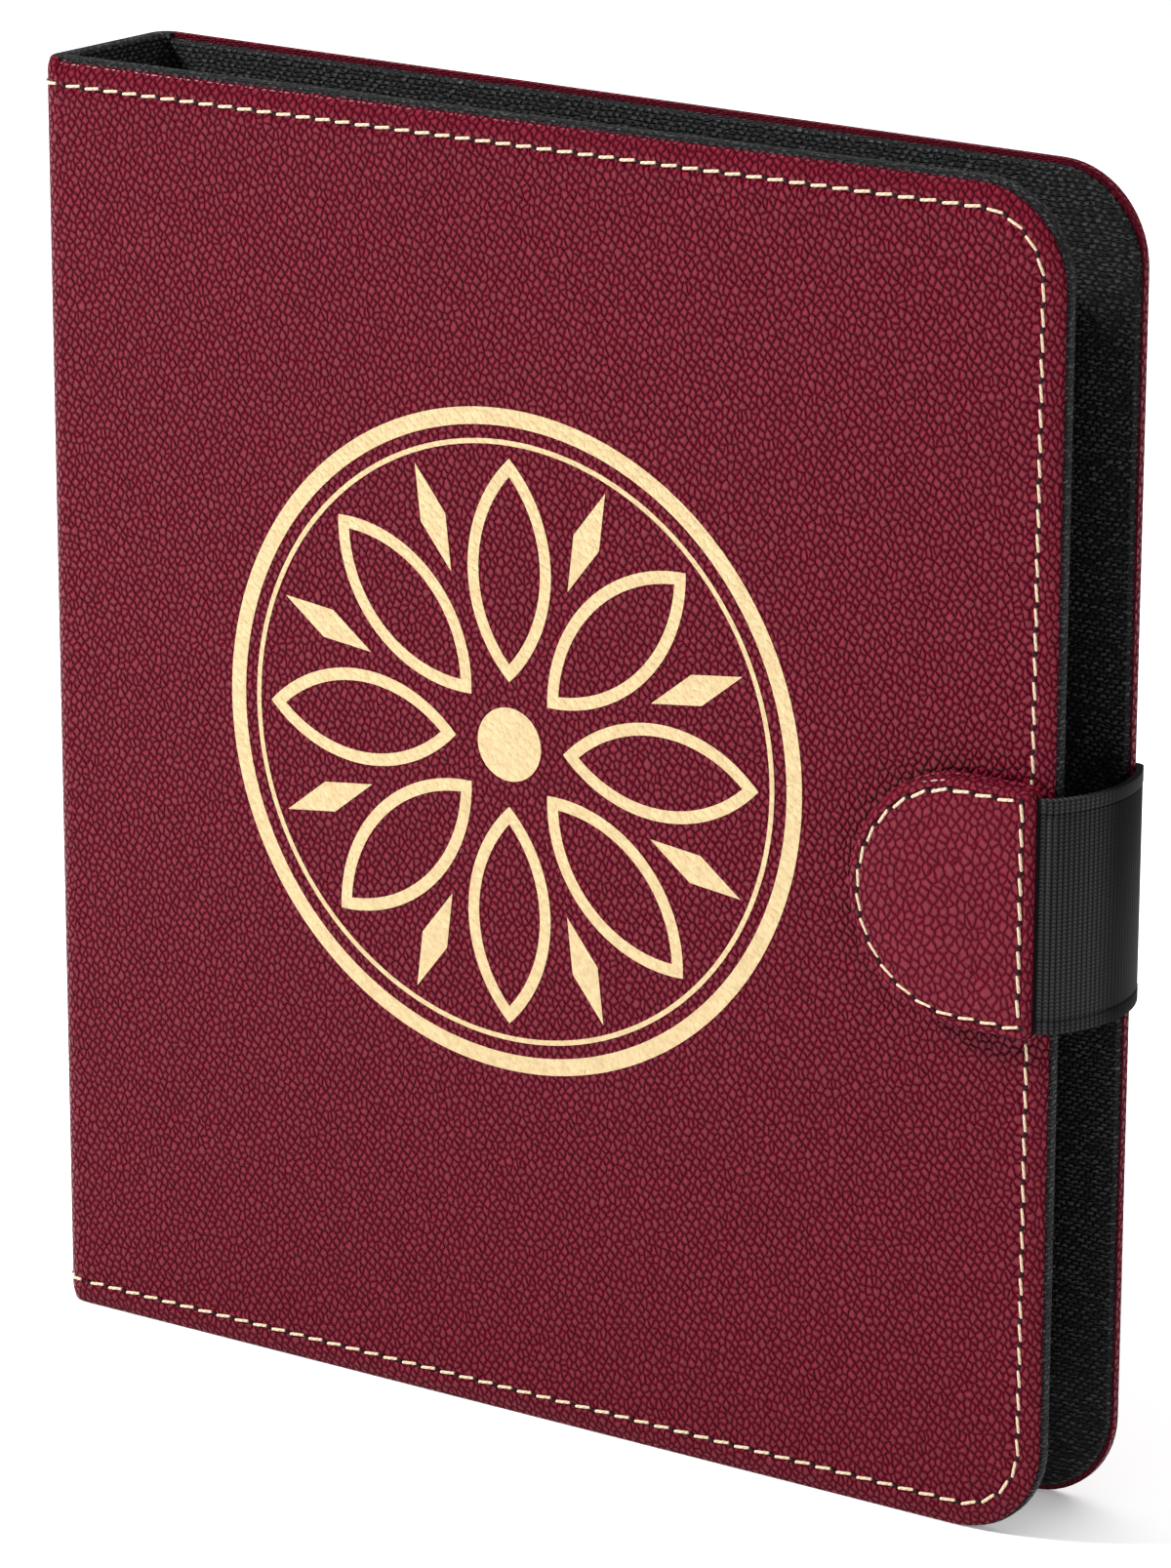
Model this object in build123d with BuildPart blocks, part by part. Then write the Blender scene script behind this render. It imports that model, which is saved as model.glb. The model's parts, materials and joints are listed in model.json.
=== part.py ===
from build123d import *
from math import atan2, cos, degrees, pi, radians, sin, tan
import os

# Trading card binder, closed and standing on its bottom edges.
# X runs from the spine to the fore-edge, -Y is the front, Z is up. Millimetres.

# Covers and spine
cover_height = 230.0
cover_width = 205.5         # along a cover, from the spine's outer face to the fore-edge
spine_depth = 34.0          # over both covers at the spine
closed_lean = 3.0           # degrees: the pages are thinner than the spine, so the front leans in
corner_radius = 16.5        # the two fore-edge corners of each cover
fold_radius = 4.2           # outside radius of the skin round each spine corner

# Layers, from the outside in
skin = 1.0
board = 1.8
lining = 0.6

# Stitching
stitch_pitch = 4.1
stitch_length = 2.9
stitch_width = 0.8
stitch_rise = 0.35
stitch_inset = 4.5
patch_stitch_inset = 2.6

# Pages: two columns and two rows of pockets on both sides of a stiff leaf
page_count = 16
leaf = 0.35
film = 0.1
pocket_width = 70.0
pocket_height = 92.0
weld = 2.0
page_foot_gap = 20.0        # below the pages
page_fore_gap = 11.0        # from the pages to the covers' fore-edge
page_corner = 4.0

# Binding strip that holds the pages in the spine
binding_width = 24.0
binding_thickness = 1.5
page_root_gap = 0.35

# Elastic strap, its tab and its sewn end
elastic_width = 39.8
elastic_thickness = 1.2
edge_bend = 1.2             # radius of its middle line where it turns round the back's edge
mouth_bend = 3.0            # radius of its middle line where it leaves the tab
span_bend = 22.0            # radius of its middle line across the fore-edge, where it bows out
strap_drop = 4.2            # strap centre below the middle of the cover
tab_length = 35.8
tab_height = 43.6
tab_thickness = 2.4
tab_corner = 4.0
tab_fore_gap = 1.5          # from the tab's straight edge to the cover's fore-edge
tab_backing_thickness = 0.4
grip_thickness = 0.6        # each half of the hook-and-loop closure
grip_length = 25.0
grip_height = 33.0
grip_fore_gap = 6.0         # from the closure to the fore-edge, clear of the stitch row
elastic_tuck = 20.0         # length of elastic held inside the tab and under the anchor patch
anchor_length = 27.0
anchor_height = 47.0
anchor_skin = 1.0
anchor_fore_gap = 6.0
anchor_corner = 5.0

# Foil ornament
ornament_radius = 58.5
ornament_centre = (99.0, 122.0)
foil = 0.1
petals = 8
ring_band = 3.0
inner_ring_gap = 2.4
inner_ring_band = 0.9
petal_root = 11.0
petal_tip = 50.0
petal_width = 17.0
petal_band = 2.2
lozenge_root = 31.0
lozenge_tip = 50.5
lozenge_width = 5.5
boss_radius = 6.5

# Worked out from the above
cover_thickness = skin + board + lining
front_y = -spine_depth
lean = radians(closed_lean)
front_turn = pi / 2 + lean
front_setback = fold_radius * tan(front_turn / 2)
strap_middle = cover_height / 2 - strap_drop
elastic_foot = strap_middle - elastic_width / 2
page_height = 2 * pocket_height + 3 * weld
page_root = cover_thickness + binding_thickness + page_root_gap
page_width = cover_width - page_fore_gap - page_root
page_pitch = binding_width / (page_count + 1)
tab_base = 2 * grip_thickness + tab_backing_thickness

# Each cover has a plane on its outer face: x along the cover, y up, z towards -Y.
front_face = Plane(origin=(0, front_y, 0), x_dir=(cos(lean), sin(lean), 0), z_dir=(sin(lean), -cos(lean), 0))
back_face = Plane(origin=(0, 0, 0), x_dir=(1, 0, 0), z_dir=(0, -1, 0))
spine_face = Plane(origin=(0, 0, 0), x_dir=(0, -1, 0), z_dir=(-1, 0, 0))

front_fold_centre = front_face.from_local_coords((front_setback, 0, -fold_radius))
back_fold_centre = Vector(fold_radius, -fold_radius, 0)

pieces = {}


def keep(name, part):
    """Label a finished piece and keep it for export."""
    part.label = name
    pieces[name] = part


def cover_outline(start, inset):
    """Cover outline from start to the fore-edge, drawn inset from its edges."""
    width = cover_width - start - 2 * inset
    height = cover_height - 2 * inset
    with BuildSketch(mode=Mode.PRIVATE) as outline:
        with Locations((start + inset, inset)):
            Rectangle(width, height, align=(Align.MIN, Align.MIN))
        fillet(outline.vertices().group_by(Axis.X)[-1], corner_radius - inset)
    return outline.sketch


def stitch_places(path, outward):
    """A plane for each stitch, evenly spaced along a path, facing outward."""
    count = round(path.length / stitch_pitch)
    return [
        Plane(origin=path @ ((n + 0.5) / count), x_dir=path % ((n + 0.5) / count), z_dir=outward)
        for n in range(count)
    ]


def stitches(places):
    """One short bar of thread at each place, standing on the surface."""
    with BuildPart() as thread:
        with Locations(*places):
            Box(stitch_length, stitch_width, stitch_rise, align=(Align.CENTER, Align.CENTER, Align.MIN))
    return thread.part


def under_elastic(place):
    """Whether a stitch place lies where the elastic crosses the fore-edge row."""
    at_fore_edge = place.origin.X > cover_width - stitch_inset - stitch_length
    reach = (elastic_width + stitch_length) / 2 + stitch_rise
    return at_fore_edge and abs(place.origin.Z - strap_middle) < reach


def fold_strip(centre, outer, thickness, turn):
    """A strip bent round a spine corner, from the spine (180 degrees) towards a cover."""
    with BuildPart() as strip:
        with BuildSketch(Plane.XY):
            with BuildLine():
                outside = CenterArc((centre.X, centre.Y), outer, 180, turn)
                inside = CenterArc((centre.X, centre.Y), outer - thickness, 180, turn)
                Line(outside @ 0, inside @ 0)
                Line(outside @ 1, inside @ 1)
            make_face()
        extrude(amount=cover_height)
    return strip.part


# ---- Covers: skin, board and lining, the front leaning on its own plane ----
cover_sides = (("front", front_face, -1, front_setback), ("back", back_face, 1, fold_radius))
for side, face, inward, start in cover_sides:
    with BuildPart() as cover_skin:
        with BuildSketch(face):
            add(cover_outline(start, 0))
        extrude(amount=inward * skin)
    keep(side + "_leather", cover_skin.part)

    with BuildPart() as cover_board:
        with BuildSketch(face.offset(inward * skin)):
            add(cover_outline(start, lining))
        extrude(amount=inward * board)
    keep(side + "_board", cover_board.part)

    # The lining covers the inner face and turns over the board's edges.
    with BuildPart() as cover_lining:
        with BuildSketch(face.offset(inward * skin)):
            add(cover_outline(start, 0))
        extrude(amount=inward * (board + lining))
        with BuildSketch(face.offset(inward * skin)):
            add(cover_outline(start, lining))
        extrude(amount=inward * board, mode=Mode.SUBTRACT)
    keep(side + "_lining", cover_lining.part)

    outward = face.z_dir * -inward
    with BuildLine(face) as seam:
        near, far = start + stitch_length / 2, cover_width - stitch_inset
        top, foot = cover_height - stitch_inset, stitch_inset
        bend = corner_radius - stitch_inset
        FilletPolyline((near, top), (far, top), (far, foot), (near, foot), radius=bend)
    # The elastic lies on the back's fore-edge row, which is left out under it.
    places = stitch_places(seam.wire(), outward)
    if side == "back":
        places = [place for place in places if not under_elastic(place)]
    keep(side + "_stitches", stitches(places))

# ---- Spine: skin, board and lining between the two folds ----
spine_near = fold_radius
spine_far = spine_depth - front_setback
spine_length = spine_far - spine_near
spine_middle = (spine_near + spine_far) / 2


def spine_layer(depth, thickness, inset):
    """A flat layer of the spine, its outer side at a depth below the spine's face."""
    with BuildPart() as layer:
        with BuildSketch(spine_face.offset(-depth)):
            with Locations((spine_middle, cover_height / 2)):
                Rectangle(spine_length - 2 * inset, cover_height - 2 * inset)
        extrude(amount=-thickness)
    return layer.part


keep("spine_leather", spine_layer(0, skin, 0))
keep("spine_board", spine_layer(skin, board, lining))
keep("spine_lining", spine_layer(skin, board + lining, 0) - pieces["spine_board"])

with BuildLine(spine_face) as spine_top_seam:
    Line((spine_near, cover_height - stitch_inset), (spine_far, cover_height - stitch_inset))
with BuildLine(spine_face) as spine_foot_seam:
    Line((spine_near, stitch_inset), (spine_far, stitch_inset))
spine_places = stitch_places(spine_top_seam.wire(), spine_face.z_dir)
spine_places += stitch_places(spine_foot_seam.wire(), spine_face.z_dir)
keep("spine_stitches", stitches(spine_places))

# ---- Folds: the skin and the lining bend round each spine corner ----
lining_fold = fold_radius - skin - board
front_turn_degrees = 90 + closed_lean
keep("front_fold_leather", fold_strip(front_fold_centre, fold_radius, skin, front_turn_degrees))
keep("front_fold_lining", fold_strip(front_fold_centre, lining_fold, lining, front_turn_degrees))
keep("back_fold_leather", fold_strip(back_fold_centre, fold_radius, skin, -90))
keep("back_fold_lining", fold_strip(back_fold_centre, lining_fold, lining, -90))

# ---- Page binding: the strip inside the spine that the pages are welded to ----
page_middle = spine_depth / 2
with BuildPart() as page_binding:
    with BuildSketch(spine_face.offset(-cover_thickness)):
        with Locations((page_middle, page_foot_gap + page_height / 2)):
            Rectangle(binding_width, page_height)
    extrude(amount=-binding_thickness)
keep("page_binding", page_binding.part)

# ---- Pages: each leaf stands on the binding and leans a little more than the last ----
page_hinges = {}
for number in range(1, page_count + 1):
    from_back = page_middle - binding_width / 2 + number * page_pitch
    tilt = lean * from_back / spine_depth
    middle = Plane(
        origin=(page_root, -from_back, page_foot_gap),
        x_dir=(cos(tilt), sin(tilt), 0),
        z_dir=(sin(tilt), -cos(tilt), 0),
    )
    page_name = f"page_{number:02d}"
    page_hinges[page_name] = middle.origin
    with BuildPart() as page:
        with BuildSketch(middle.offset(-leaf / 2)) as leaf_outline:
            Rectangle(page_width, page_height, align=(Align.MIN, Align.MIN))
            fillet(leaf_outline.vertices().group_by(Axis.X)[-1], page_corner)
        extrude(amount=leaf)
    keep(page_name, page.part)

    # One clear film for each column of two pockets, on each side of the leaf.
    film_width = pocket_width + weld
    outer_middle = page_width - page_corner - film_width / 2
    film_middles = [outer_middle, outer_middle - film_width - weld]
    with BuildPart() as pockets:
        for sheet in (middle.offset(leaf / 2), middle.offset(-leaf / 2 - film)):
            with BuildSketch(sheet):
                with Locations(*[(x, page_height / 2) for x in film_middles]):
                    Rectangle(film_width, page_height - 2 * weld)
            extrude(amount=film)
    keep(page_name + "_pockets", pockets.part)

# ---- Foil ornament: two rings round a rosette of open petals ----
with BuildSketch(mode=Mode.PRIVATE) as petal:
    with BuildLine():
        ThreePointArc((petal_root, 0), ((petal_root + petal_tip) / 2, petal_width / 2), (petal_tip, 0))
        ThreePointArc((petal_tip, 0), ((petal_root + petal_tip) / 2, -petal_width / 2), (petal_root, 0))
    make_face()
    offset(amount=-petal_band, mode=Mode.SUBTRACT)
with BuildSketch(mode=Mode.PRIVATE) as lozenge:
    with BuildLine():
        middle_reach = (lozenge_root + lozenge_tip) / 2
        Polyline(
            (lozenge_root, 0), (middle_reach, lozenge_width / 2),
            (lozenge_tip, 0), (middle_reach, -lozenge_width / 2), close=True,
        )
    make_face()
with BuildPart() as foil_ornament:
    with BuildSketch(front_face):
        with Locations(ornament_centre):
            Circle(ornament_radius)
            Circle(ornament_radius - ring_band, mode=Mode.SUBTRACT)
            Circle(ornament_radius - ring_band - inner_ring_gap)
            Circle(ornament_radius - ring_band - inner_ring_gap - inner_ring_band, mode=Mode.SUBTRACT)
            Circle(boss_radius)
            with PolarLocations(0, petals):
                add(petal.sketch)
            with PolarLocations(0, petals, start_angle=180 / petals):
                add(lozenge.sketch)
    extrude(amount=foil)
keep("foil_ornament", foil_ornament.part)

# ---- Strap: elastic sewn to the back, round the fore-edges, to a tab that grips the front ----
# Its middle line is three arcs that run into each other: out of the tab, across, and onto the back.
mouth_reach = cover_width - tab_fore_gap
mouth = front_face.from_local_coords((mouth_reach, 0, tab_base + elastic_thickness / 2))
mouth_centre = mouth - front_face.z_dir * mouth_bend
edge_centre = Vector(cover_width, elastic_thickness / 2 - edge_bend, 0)
between = edge_centre - mouth_centre
mouth_arm, edge_arm = span_bend - mouth_bend, span_bend - edge_bend
along = (mouth_arm**2 - edge_arm**2 + between.length**2) / (2 * between.length)
across = (mouth_arm**2 - along**2) ** 0.5
span_centre = (
    mouth_centre + between.normalized() * along + between.normalized().rotate(Axis.Z, 90) * across
)


def heading(vector):
    """The angle of a vector in the XY plane, in degrees."""
    return degrees(atan2(vector.Y, vector.X))


mouth_start = closed_lean - 90
span_start = heading(mouth_centre - span_centre)
edge_start = heading(edge_centre - span_centre)
strap_arcs = (
    (mouth_centre, mouth_bend, mouth_start, span_start - mouth_start),
    (span_centre, span_bend, span_start, edge_start - span_start),
    (edge_centre, edge_bend, edge_start, 90 - edge_start),
)
with BuildPart() as elastic_span:
    with BuildSketch(Plane.XY.offset(elastic_foot)):
        with BuildLine():
            ends = []
            for side_step in (-elastic_thickness / 2, elastic_thickness / 2):
                arcs = [
                    CenterArc((centre.X, centre.Y), radius + side_step, start, turn)
                    for centre, radius, start, turn in strap_arcs
                ]
                ends.append((arcs[0] @ 0, arcs[-1] @ 1))
            Line(ends[0][0], ends[1][0])
            Line(ends[0][1], ends[1][1])
        make_face()
    extrude(amount=elastic_width)
keep("elastic_span", elastic_span.part)

with BuildPart() as elastic_anchor:
    with BuildSketch(back_face):
        with Locations((edge_centre.X, elastic_foot)):
            Rectangle(anchor_fore_gap + elastic_tuck, elastic_width, align=(Align.MAX, Align.MIN))
    extrude(amount=-elastic_thickness)
keep("elastic_anchor", elastic_anchor.part)

anchor_middle = (cover_width - anchor_fore_gap - anchor_length / 2, strap_middle)
with BuildPart() as anchor_patch:
    with BuildSketch(back_face):
        with Locations(anchor_middle):
            RectangleRounded(anchor_length, anchor_height, anchor_corner)
    extrude(amount=-(elastic_thickness + anchor_skin))
    add(elastic_anchor.part, mode=Mode.SUBTRACT)
keep("anchor_patch", anchor_patch.part)

patch_surface = back_face.offset(-(elastic_thickness + anchor_skin))
with BuildSketch(patch_surface) as anchor_seam:
    with Locations(anchor_middle):
        RectangleRounded(
            anchor_length - 2 * patch_stitch_inset, anchor_height - 2 * patch_stitch_inset,
            anchor_corner - patch_stitch_inset,
        )
keep("anchor_stitches", stitches(stitch_places(anchor_seam.sketch.wire(), -back_face.z_dir)))


def tab_outline(inset):
    """The tab's outline: a round nose towards the spine and a straight edge at the fore-edge."""
    straight_edge = cover_width - tab_fore_gap - inset
    nose_radius = tab_height / 2 - inset
    nose_centre = cover_width - tab_fore_gap - tab_length + tab_height / 2
    top, foot = strap_middle + nose_radius, strap_middle - nose_radius
    with BuildSketch(mode=Mode.PRIVATE) as outline:
        with BuildLine():
            Line((straight_edge, foot), (straight_edge, top))
            Line((straight_edge, top), (nose_centre, top))
            CenterArc((nose_centre, strap_middle), nose_radius, 90, 180)
            Line((nose_centre, foot), (straight_edge, foot))
        make_face()
        fillet(outline.vertices().group_by(Axis.X)[-1], tab_corner - inset)
    return outline.sketch


grip_middle = (cover_width - grip_fore_gap - grip_length / 2, strap_middle)
for name, depth in (("loop_patch", 0), ("hook_patch", grip_thickness)):
    with BuildPart() as grip:
        with BuildSketch(front_face.offset(depth)):
            with Locations(grip_middle):
                RectangleRounded(grip_length, grip_height, tab_corner)
        extrude(amount=grip_thickness)
    keep(name, grip.part)

with BuildPart() as tab_backing:
    with BuildSketch(front_face.offset(2 * grip_thickness)):
        add(tab_outline(0))
    extrude(amount=tab_backing_thickness)
keep("tab_backing", tab_backing.part)

with BuildPart() as elastic_tab_end:
    with BuildSketch(front_face.offset(tab_base)):
        with Locations((mouth_reach, elastic_foot)):
            Rectangle(elastic_tuck, elastic_width, align=(Align.MAX, Align.MIN))
    extrude(amount=elastic_thickness)
keep("elastic_tab_end", elastic_tab_end.part)

with BuildPart() as tab_leather:
    with BuildSketch(front_face.offset(tab_base)):
        add(tab_outline(0))
    extrude(amount=tab_thickness)
    add(elastic_tab_end.part, mode=Mode.SUBTRACT)
keep("tab_leather", tab_leather.part)

with BuildSketch(front_face.offset(tab_base + tab_thickness)) as tab_seam:
    add(tab_outline(patch_stitch_inset))
keep("tab_stitches", stitches(stitch_places(tab_seam.sketch.wire(), front_face.z_dir)))

# ---- Frame: the origin is the middle of the footprint, on the ground ----
boxes = [part.bounding_box() for part in pieces.values()]
low_x, high_x = min(box.min.X for box in boxes), max(box.max.X for box in boxes)
low_y, high_y = min(box.min.Y for box in boxes), max(box.max.Y for box in boxes)
to_origin = Vector(-(low_x + high_x) / 2, -(low_y + high_y) / 2, 0)


# A fold's axis lies inside the corner, so that the skin keeps its length when it lies flat.
def fold_axis(face, turn, outward_depth):
    depth = fold_radius - turn * (fold_radius - skin / 2) / (2 * tan(turn / 2))
    return face.from_local_coords((depth * tan(turn / 2), 0, outward_depth * depth))


axes = {
    "spine_fold": fold_axis(back_face, pi / 2, 1),
    "cover_fold": fold_axis(front_face, front_turn, -1),
    "strap_swing": edge_centre,
    "tab_peel": mouth_centre,
    **page_hinges,
}
for name, point in axes.items():
    place = point + to_origin
    print(f"axis {name} {place.X:.4f} {place.Y:.4f}")
for name, point in (("foot", Vector(skin / 2, -spine_depth / 2, 0)), ("corner", Vector(0, 0, 0))):
    place = point + to_origin
    print(f"point {name} {place.X:.4f} {place.Y:.4f} {place.Z:.4f}")
print(f"size {high_x - low_x:.2f} {high_y - low_y:.2f} {cover_height:.2f}")

os.makedirs("parts", exist_ok=True)
for name, part in pieces.items():
    placed = part.moved(Location(to_origin))
    placed.label = name
    export_step(placed, f"parts/{name}.step")
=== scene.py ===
# %% [markdown]
# # A trading card binder
#
# The binder stands closed. Its frame, meaning every size, place and hinge, is already fixed by the packed
# CAD model. This lesson gives it its looks: pebbled leather with a stitched rim, woven lining, gold foil, a
# padded tab on an elastic strap, and clear pockets on stiff black leaves. Each piece is modelled once, by
# hand operators, in the place where the frame has it.

# %% Load the frame
import json
from math import atan2, cos, pi, radians, sin, sqrt, tan

import bmesh
import bpy
import numpy as np
from mathutils import Matrix, Vector

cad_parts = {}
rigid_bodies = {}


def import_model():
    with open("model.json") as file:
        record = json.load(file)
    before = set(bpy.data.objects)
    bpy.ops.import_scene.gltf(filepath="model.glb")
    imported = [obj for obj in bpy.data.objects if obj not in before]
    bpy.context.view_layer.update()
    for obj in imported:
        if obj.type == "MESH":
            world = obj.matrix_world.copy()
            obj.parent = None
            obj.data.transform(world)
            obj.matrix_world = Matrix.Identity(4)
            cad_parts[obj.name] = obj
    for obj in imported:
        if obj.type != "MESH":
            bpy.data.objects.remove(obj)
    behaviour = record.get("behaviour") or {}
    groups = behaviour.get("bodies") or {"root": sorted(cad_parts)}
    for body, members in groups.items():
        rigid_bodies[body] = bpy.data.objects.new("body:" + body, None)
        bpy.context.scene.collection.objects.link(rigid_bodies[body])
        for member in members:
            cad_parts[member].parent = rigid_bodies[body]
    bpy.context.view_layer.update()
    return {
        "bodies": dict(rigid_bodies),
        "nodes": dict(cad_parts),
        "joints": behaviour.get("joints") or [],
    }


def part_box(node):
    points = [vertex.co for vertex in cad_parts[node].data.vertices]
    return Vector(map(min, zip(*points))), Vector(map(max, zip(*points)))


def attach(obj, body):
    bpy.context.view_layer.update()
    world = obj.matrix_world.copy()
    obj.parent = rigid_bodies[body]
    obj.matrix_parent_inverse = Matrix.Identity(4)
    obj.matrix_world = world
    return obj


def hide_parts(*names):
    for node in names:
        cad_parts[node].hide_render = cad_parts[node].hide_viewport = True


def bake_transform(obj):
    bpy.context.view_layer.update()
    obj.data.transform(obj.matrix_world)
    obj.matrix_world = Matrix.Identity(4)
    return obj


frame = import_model()
cad_nodes = frame["nodes"]
hinge_at = {joint["name"]: Vector(joint["pos_m"]) for joint in frame["joints"]}

# %% [markdown]
# The sizes that shape the looks are given in millimetres. Places come from the frame: the spine's outer
# face, the back's outer face, and the height of the covers. The front cover leans in a little, because the
# pages are thinner than the spine.

# %% Sizes and places
MM = 0.001
COVER_WIDTH = 205.5 * MM
COVER_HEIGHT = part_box("front_leather")[1].z
SPINE_DEPTH = 34 * MM
LEAN = radians(3)
SKIN = 1.0 * MM
BOARD = 1.8 * MM
LINING = 0.6 * MM
COVER = SKIN + BOARD + LINING
CORNER_RADIUS = 16.5 * MM
FOLD_RADIUS = 4.2 * MM
SPINE_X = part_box("spine_leather")[0].x
BACK_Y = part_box("back_leather")[1].y
FRONT_Y = BACK_Y - SPINE_DEPTH
FRONT_TURN = pi / 2 + LEAN
FRONT_SETBACK = FOLD_RADIUS * tan(FRONT_TURN / 2)

# A cover is modelled flat, its outer face on Y = 0 and facing -Y, its spine end at X = 0.
# These matrices put it in place.
ON_FRONT = Matrix.Translation((SPINE_X, FRONT_Y, 0)) @ Matrix.Rotation(LEAN, 4, "Z")
ON_BACK = Matrix.Translation((SPINE_X, BACK_Y, COVER_HEIGHT)) @ Matrix.Rotation(pi, 4, "X")
ON_SPINE = Matrix.Translation((SPINE_X, BACK_Y, 0)) @ Matrix.Rotation(-pi / 2, 4, "Z")
print("covers", round(COVER_WIDTH / MM, 1), "by", round(COVER_HEIGHT / MM, 1), "mm")

# %% [markdown]
# ## Camera, floor and light
#
# The binder is seen from its right and a little above, through a long lens, so its edges stay nearly
# parallel. The floor is one pale plane that runs far beyond the view and glows a little, so that the shadow
# on it stays light. Soft area lights do what a studio's softboxes do: a key from the upper left, low enough
# to rake over the grain, and a weak fill from the right. A very broad sun stands for the white ceiling, and
# keeps the floor equally pale out to the horizon.

# %% Camera
VIEW_AZIMUTH = radians(36.57)
VIEW_ELEVATION = radians(16.72)
VIEW_ROLL = radians(0.14)
VIEW_DISTANCE = 1.1297
VIEW_TARGET = Vector((-0.00013, 0.00035, 0.11289))
LENS = 151.36

toward_camera = Vector((
    sin(VIEW_AZIMUTH) * cos(VIEW_ELEVATION), -cos(VIEW_AZIMUTH) * cos(VIEW_ELEVATION), sin(VIEW_ELEVATION)))
bpy.ops.object.camera_add(location=VIEW_TARGET + toward_camera * VIEW_DISTANCE)
camera = bpy.context.object
camera.name = "camera"
camera.data.lens = LENS
camera.rotation_mode = "QUATERNION"
camera.rotation_quaternion = (-toward_camera).to_track_quat("-Z", "Y") @ Matrix.Rotation(
    VIEW_ROLL, 4, "Z").to_quaternion()
bpy.context.scene.camera = camera
bpy.context.scene.view_settings.view_transform = "Standard"
print("camera: lens", LENS, "mm,", VIEW_DISTANCE, "m away")


# %% Softboxes
def softbox(name, place, aim, size, power):
    """A square area light at a place, turned to face a point."""
    bpy.ops.object.light_add(type="AREA", location=place)
    light = bpy.context.object
    light.name = name
    light.rotation_euler = (Vector(aim) - Vector(place)).to_track_quat("-Z", "Y").to_euler()
    light.data.size = size
    light.data.energy = power


MIDDLE = (0, 0, COVER_HEIGHT / 2)
CEILING_POWER = 2.1
CEILING_SPREAD = 1.2
SKY_STRENGTH = 0.26
softbox("key", (-1.05, -0.75, 1.15), MIDDLE, 0.28, 42)
softbox("fill", (1.4, -0.5, 0.5), MIDDLE, 0.8, 4)
bpy.ops.object.light_add(type="SUN", location=(0.1, 0.5, 1.5))
ceiling = bpy.context.object
ceiling.name = "ceiling"
ceiling.rotation_euler = (-0.30, 0.08, 0)
ceiling.data.energy = CEILING_POWER
ceiling.data.angle = CEILING_SPREAD
world = bpy.data.worlds.new("studio")
world.use_nodes = True
sky = world.node_tree.nodes["Background"].inputs
sky["Color"].default_value = (1, 1, 1, 1)
sky["Strength"].default_value = SKY_STRENGTH
bpy.context.scene.world = world

# %% [markdown]
# ## Shader arithmetic
#
# A material here is mostly arithmetic on patterns. Wrapping a socket in a small class lets an ordinary
# Python expression, such as `1 - edge * 0.5`, add the Math nodes that it needs.


# %% Shader expressions
class Signal:
    """One output of a shader node, which arithmetic turns into Math nodes."""

    def __init__(self, finish, socket):
        self.finish, self.socket = finish, socket

    def math(self, operation, *others):
        return self.finish.node("Math", {"operation": operation}, [self, *others])

    def __add__(self, other):
        return self.math("ADD", other)

    def __sub__(self, other):
        return self.math("SUBTRACT", other)

    def __mul__(self, other):
        return self.math("MULTIPLY", other)

    def __rsub__(self, other):
        return self.finish.node("Math", {"operation": "SUBTRACT"}, [other, self])

    __radd__ = __add__
    __rmul__ = __mul__

    def step(self, low, high):
        """A smooth rise from 0 at low to 1 at high."""
        ends = {"Value": self, "From Min": low, "From Max": high}
        return self.finish.node("MapRange", {"interpolation_type": "SMOOTHSTEP"}, ends)


class Finish:
    """A material whose nodes are added by name, with their settings set before their sockets."""

    def __init__(self, name):
        self.material = bpy.data.materials.new(name)
        self.material.use_nodes = True
        self.tree = self.material.node_tree
        self.shader = self.tree.nodes["Principled BSDF"]

    def node(self, kind, settings=None, inputs=(), output=0):
        made = self.tree.nodes.new("ShaderNode" + kind)
        for key, value in (settings or {}).items():
            setattr(made, key, value)
        named = inputs.items() if isinstance(inputs, dict) else enumerate(inputs)
        for key, value in named:
            self.plug(value, made.inputs[key])
        return Signal(self, made.outputs[output])

    def plug(self, value, socket):
        if isinstance(value, Signal):
            self.tree.links.new(value.socket, socket)
        else:
            socket.default_value = value

    def surface(self, **inputs):
        """Set the shader's own sockets: Base_Color=..., Roughness=... and so on."""
        for key, value in inputs.items():
            self.plug(value, self.shader.inputs[key.replace("_", " ")])
        return self.material

    def split(self, vector):
        """The X, Y and Z of a vector."""
        parts = self.node("SeparateXYZ", inputs=[vector])
        return [Signal(self, part) for part in parts.socket.node.outputs]

    def place(self, scale=(1, 1, 1)):
        """Object coordinates in metres, stretched by a scale."""
        raw = self.node("TexCoord", output="Object")
        return self.node("Mapping", inputs={"Vector": raw, "Scale": scale})

    def noise(self, vector, scale, detail=2.0, output="Fac"):
        ends = {"Vector": vector, "Scale": scale, "Detail": detail}
        return self.node("TexNoise", inputs=ends, output=output)

    def blend(self, share, first, second):
        """Mix two colours by a share."""
        mixed = self.node("Mix", {"data_type": "RGBA"}, output=2)
        sockets = mixed.socket.node.inputs
        for value, index in ((share, 0), (first, 6), (second, 7)):
            self.plug(value, sockets[index])
        return mixed

    def bump(self, height, depth):
        return self.node("Bump", inputs={"Height": height, "Distance": depth}, output="Normal")


def wear(finish, *pieces):
    """Give one finish to pieces or CAD nodes."""
    for piece in pieces:
        piece = cad_nodes[piece] if isinstance(piece, str) else piece
        piece.data.materials.clear()
        piece.data.materials.append(finish)


def stand_in(piece, body, node):
    """Let a piece ride on a body in place of a CAD node."""
    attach(piece, body)
    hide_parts(node)


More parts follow.
